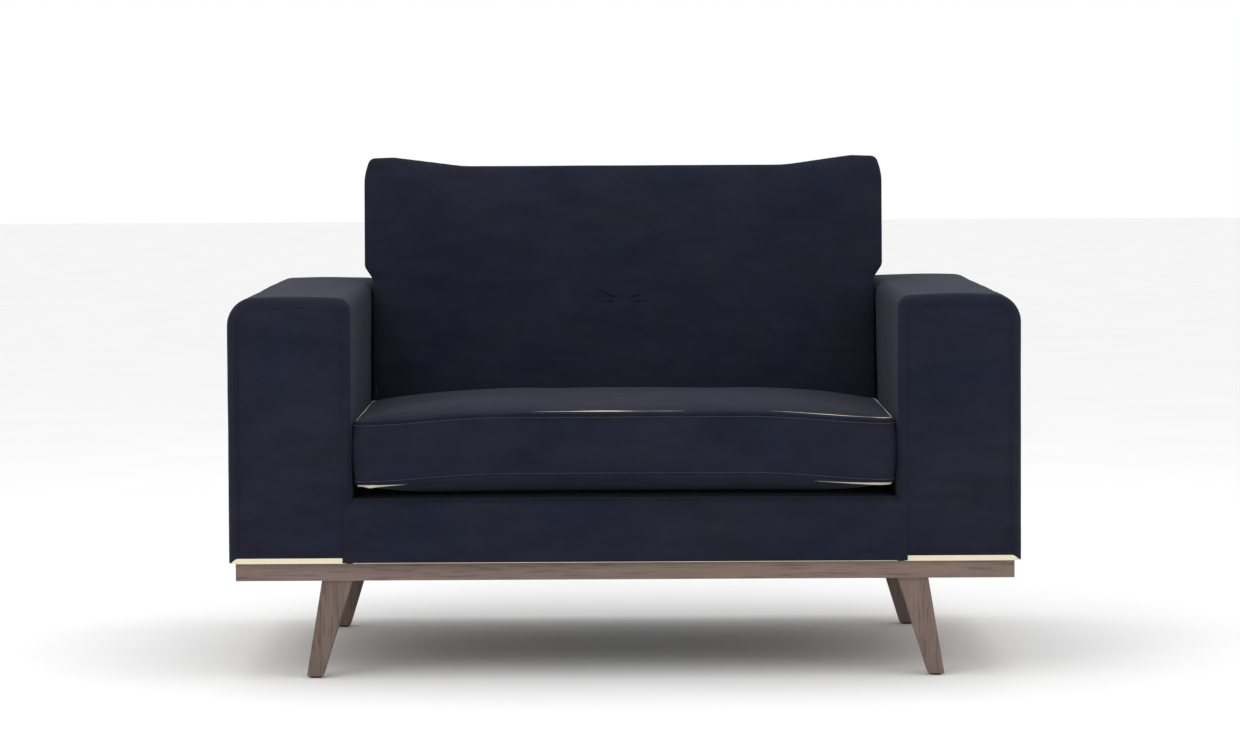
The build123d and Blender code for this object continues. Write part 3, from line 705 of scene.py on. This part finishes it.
def puckers(piece, seams, height_of, amount, pitch):
    """Small gathers that run out from a seam and fade within a few centimetres."""
    moves = []
    for vertex in piece.data.vertices:
        reach = min(abs(height_of(vertex.co) - level(vertex.co)) for level in seams)
        fade = math.exp(-reach / 0.011) * smoothstep(0.0, 0.003, reach)
        along = vertex.co.x + vertex.co.y
        wave = math.sin(2 * math.pi * along / pitch + 2.5 * noise.noise(vertex.co * 9))
        gate = smoothstep(-0.15, 0.35, noise.noise(vertex.co * Vector((6, 6, 0)).length * 0.9))
        moves.append(vertex.normal * amount * fade * wave * gate)
    for vertex, move in zip(piece.data.vertices, moves):
        vertex.co += move
    piece.data.update()


def fold_corners(piece):
    """Short diagonal folds on the top and bottom panels at the front corners."""
    for vertex in piece.data.vertices:
        co = vertex.co
        dx, dy = SEAT_HIGH.x - abs(co.x), co.y - SEAT_LOW.y
        if dx < 0 or dy < 0 or dx > 0.16 or dy > 0.16:
            continue
        away = math.hypot(dx, dy)
        across = (dx - dy) / (away + 0.01)
        vertex.co.z -= math.copysign(0.0022, co.z - 0.38) * math.exp(-(across / 0.22) ** 2) \
            * smoothstep(0.02, 0.05, away) * (1 - smoothstep(0.07, 0.16, away))
    piece.data.update()


class LOVESEAT_OT_seat_cushion(bpy.types.Operator):
    """Build the boxed seat cushion with its seams, puckers and topstitching"""
    bl_idname = "loveseat.seat_cushion"
    bl_label = "Seat Cushion"

    def execute(self, context):
        foot = SEAT_LOW.z + 0.036
        top = foot + sizes().seat_boxing
        piece = loft("seat_cushion_velvet", seat_rings(), velvet())
        levels = [lambda co: foot + seat_bow(co.x), lambda co: top + seat_bow(co.x)]
        puckers(piece, levels, lambda co: co.z, 0.0011, 0.017)
        fold_corners(piece)
        soften(piece, 0.0020, 5.0, 4, seat_keep)
        subdivide(piece)
        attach(piece, "seat_cushion")
        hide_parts("seat_cushion_cover")
        foam = filling(piece, "seat_foam_block", "seat_cushion_core", bpy.data.materials["cream_foam"],
                       "seat_cushion")
        rows = []
        for level, sign in ((foot, 1), (top, -1)):
            ring = seat_outline(0.0006)
            row = [Vector((p.x, p.y, level + sign * 0.0062 + seat_bow(p.x))) for p in ring]
            rows.append(row + row[:1])
        stitch_rows("seat_topstitch", rows, "seat_cushion")
        return {"FINISHED"}


def filling(cover, name, node, finish, body, depth=0.007):
    """The cushion's filling: the cover's own shape, a little smaller all round."""
    mesh = cover.data.copy()
    mesh.materials.clear()
    mesh.materials.append(finish)
    for vertex, outer in zip(mesh.vertices, cover.data.vertices):
        vertex.co = outer.co - outer.normal * depth
    piece = bpy.data.objects.new(name, mesh)
    bpy.context.scene.collection.objects.link(piece)
    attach(piece, body)
    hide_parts(node)
    return piece


def seat_keep(co):
    """No unevenness where the cushion lies on the deck or close to the arms."""
    sides = smoothstep(0.0, 0.05, SEAT_HIGH.x - abs(co.x))
    return (0.25 + 0.75 * sides) * smoothstep(SEAT_LOW.z, SEAT_LOW.z + 0.03, co.z)


def subdivide(piece):
    """One level of smoothing, kept live at the same level for view and render."""
    modifier = piece.modifiers.new("smooth", "SUBSURF")
    modifier.levels = 1
    modifier.render_levels = 1


def back_outline(offset, depth=0.0):
    """Front outline (X, up the lean): straight between the arms, swelling above them, an ear each side.
    The swell starts higher up on rings further back, because the cushion leans and the arms are level."""
    swell = 0.308 + math.tan(LEAN) * depth
    half = [
        (0.4442, 0.003), (0.4442, swell), (0.4590, swell + 0.022), (0.4600, 0.498),
        (0.4500, 0.5300), (0.4060, 0.5315), (0.2850, 0.5160),
    ]
    radii = [0.030, 0.02, 0.02, 0.10, 0.014, 0.050, 0.25]
    corners = [(-x, v) for x, v in half][::-1]
    corners = [(x, v) for x, v in half] + corners
    rounds = radii + radii[::-1]
    return rounded_outline(corners, rounds, 0.0016 - offset, 6, 22)


def back_rings():
    """Rear panel, boxing and crowned front panel of the back cushion."""
    crown, rear_crown = sizes().back_crown, 0.014
    boxing = BACK_THICK - crown - rear_crown - 0.002
    centre = Vector((0, 0.262))

    def place(p, depth):
        return BACK_ORIGIN + Vector((p.x, 0, 0)) + UP * p.y + THROUGH * depth

    rings = []
    base = back_outline(0, crown + boxing)
    for share in panel_shares():
        ring = [centre + (p - centre) * share for p in base]
        rings.append([place(p, crown + boxing + rear_crown * crown_height(share)) for p in ring])
    for height, offset in reversed(seam_profile(boxing, 0.0016, 0.0026)):
        rings.append([place(p, crown + 0.001 + height) for p in back_outline(offset, crown + height)])
    base = back_outline(0, crown)
    for share in reversed(panel_shares()):
        ring = [centre + (p - centre) * share for p in base]
        rings.append([place(p, crown * (1 - crown_height(share)) + 0.001) for p in ring])
    return rings


def back_depth(co):
    """Distance of a point behind the back cushion's front plane."""
    return (co - BACK_ORIGIN).dot(THROUGH)


class LOVESEAT_OT_back_cushion(bpy.types.Operator):
    """Build the eared back cushion with its boxing seams and soft wrinkles"""
    bl_idname = "loveseat.back_cushion"
    bl_label = "Back Cushion"

    def execute(self, context):
        crown = sizes().back_crown
        piece = loft("back_cushion_velvet", back_rings(), velvet())
        puckers(piece, [lambda co: crown + 0.001], back_depth, 0.0010, 0.021)
        soften(piece, 0.0026, 3.6, 6, back_keep)
        subdivide(piece)
        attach(piece, "back_cushion")
        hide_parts("back_cushion_cover")
        fibre = filling(piece, "back_fibre_pad", "back_cushion_core", bpy.data.materials["fibre_ticking"],
                        "back_cushion")
        ring = [p for p in back_outline(0.0006, crown) if p.y > 0.14]
        depth = THROUGH * (crown + 0.0075)
        row = split_at_gap([BACK_ORIGIN + Vector((p.x, 0, 0)) + UP * p.y + depth for p in ring])
        stitch_rows("back_topstitch", [row], "back_cushion")
        return {"FINISHED"}


def back_keep(co):
    """Full softness over the panels, less beside the arms and none at the foot."""
    sides = smoothstep(0.0, 0.06, 0.446 - abs(co.x))
    above = smoothstep(0.62, 0.68, co.z)
    return max(sides, 0.15 + 0.35 * above) * smoothstep(0.30, 0.40, co.z)


# ---------- wood and what lies inside ----------

class LOVESEAT_OT_finishes(bpy.types.Operator):
    """Give the wooden base and every inner part its finish"""
    bl_idname = "loveseat.finishes"
    bl_label = "Wood and Inner Finishes"

    def execute(self, context):
        inner = inner_finishes()
        along_x = walnut_material("walnut_rail", (0.05, 1, 1))
        along_y = walnut_material("walnut_side", (1, 0.05, 1))
        along_z = walnut_material("walnut_leg", (1, 1, 0.07))
        inner["velvet"] = velvet()
        for part in frame["record"]["subparts"]:
            name, slot = part["node"], part["material_slot"]
            material = inner.get(slot)
            if slot == "walnut":
                material = along_z if name.startswith("leg") else along_x
                if "side" in name:
                    material = along_y
            node = frame["nodes"][name]
            for holder in node.material_slots:
                holder.material = material
        return {"FINISHED"}


# ---------- stage ----------

class LOVESEAT_OT_stage(bpy.types.Operator):
    """Set the pale floor, the soft studio lights and the camera"""
    bl_idname = "loveseat.stage"
    bl_label = "Stage"

    def execute(self, context):
        self.floor()
        self.world()
        bpy.context.scene.view_settings.view_transform = "Standard"
        self.light("key_light", (-2.6, -4.2, 3.2), 2.6, 45)
        self.light("fill_light", (3.2, -3.6, 2.2), 2.4, 12)
        self.light("top_light", (0.0, 0.4, 3.6), 3.0, 30)
        self.camera()
        return {"FINISHED"}

    def floor(self):
        """Pale studio floor that runs far behind the sofa."""
        mesh = bpy.data.meshes.new("floor")
        half = 30.0
        mesh.from_pydata([(-half, -half, 0), (half, -half, 0), (half, half, 0), (-half, half, 0)], [], [(0, 1, 2, 3)])
        floor = bpy.data.objects.new("floor", mesh)
        bpy.context.scene.collection.objects.link(floor)
        material, tree, shader = new_material("studio_floor")
        paper = object_noise(tree, 3.0, 2.0)
        tint = ramp(tree, paper, [(0.3, (0.90, 0.90, 0.90)), (0.7, (0.92, 0.92, 0.92))])
        tree.links.new(tint, shader.inputs["Base Color"])
        shader.inputs["Roughness"].default_value = 0.85
        shader.inputs["Specular IOR Level"].default_value = 0.1
        mesh.materials.append(material)

    def world(self):
        world = bpy.data.worlds.new("studio")
        world.use_nodes = True
        sky = world.node_tree.nodes["Background"]
        sky.inputs["Color"].default_value = (1, 1, 1, 1)
        sky.inputs["Strength"].default_value = 1.0
        bpy.context.scene.world = world

    def light(self, name, place, size, power):
        data = bpy.data.lights.new(name, "AREA")
        data.shape = "SQUARE"
        data.size = size
        data.energy = power
        lamp = bpy.data.objects.new(name, data)
        lamp.location = place
        lamp.rotation_euler = (Vector((0, 0, 0.45)) - Vector(place)).to_track_quat("-Z", "Y").to_euler()
        bpy.context.scene.collection.objects.link(lamp)

    def camera(self):
        """Long lens in front of the sofa, a little above it and looking slightly down."""
        data = bpy.data.cameras.new("camera")
        data.sensor_width = 36.0
        data.lens = 122.7
        eye = bpy.data.objects.new("camera", data)
        eye.location = (-0.0046, -7.345, 0.920)
        eye.rotation_euler = (math.radians(90 - 3.5), math.radians(0.298), 0)
        bpy.context.scene.collection.objects.link(eye)
        bpy.context.scene.camera = eye


class LOVESEAT_PT_panel(bpy.types.Panel):
    """Sizes, colours and build steps of the loveseat"""
    bl_label = "Loveseat"
    bl_space_type = "VIEW_3D"
    bl_region_type = "UI"
    bl_category = "Loveseat"

    def draw(self, context):
        for group in (context.scene.loveseat_sizes, context.scene.loveseat_colours):
            for name in group.__annotations__:
                self.layout.prop(group, name)
        for step in STEPS:
            self.layout.operator(step.bl_idname)


STEPS = (
    LOVESEAT_OT_stage, LOVESEAT_OT_finishes, LOVESEAT_OT_arms, LOVESEAT_OT_apron, LOVESEAT_OT_back,
    LOVESEAT_OT_seat_cushion, LOVESEAT_OT_back_cushion,
)
CLASSES = (LoveseatSizes, LoveseatColours, *STEPS, LOVESEAT_PT_panel)


def register():
    for item in CLASSES:
        bpy.utils.register_class(item)
    bpy.types.Scene.loveseat_sizes = bpy.props.PointerProperty(type=LoveseatSizes)
    bpy.types.Scene.loveseat_colours = bpy.props.PointerProperty(type=LoveseatColours)


def unregister():
    del bpy.types.Scene.loveseat_colours
    del bpy.types.Scene.loveseat_sizes
    for item in reversed(CLASSES):
        bpy.utils.unregister_class(item)


def main():
    register()
    for step in STEPS:
        family, name = step.bl_idname.split(".")
        getattr(getattr(bpy.ops, family), name)()
    bpy.context.view_layer.update()


if __name__ == "__main__":
    main()
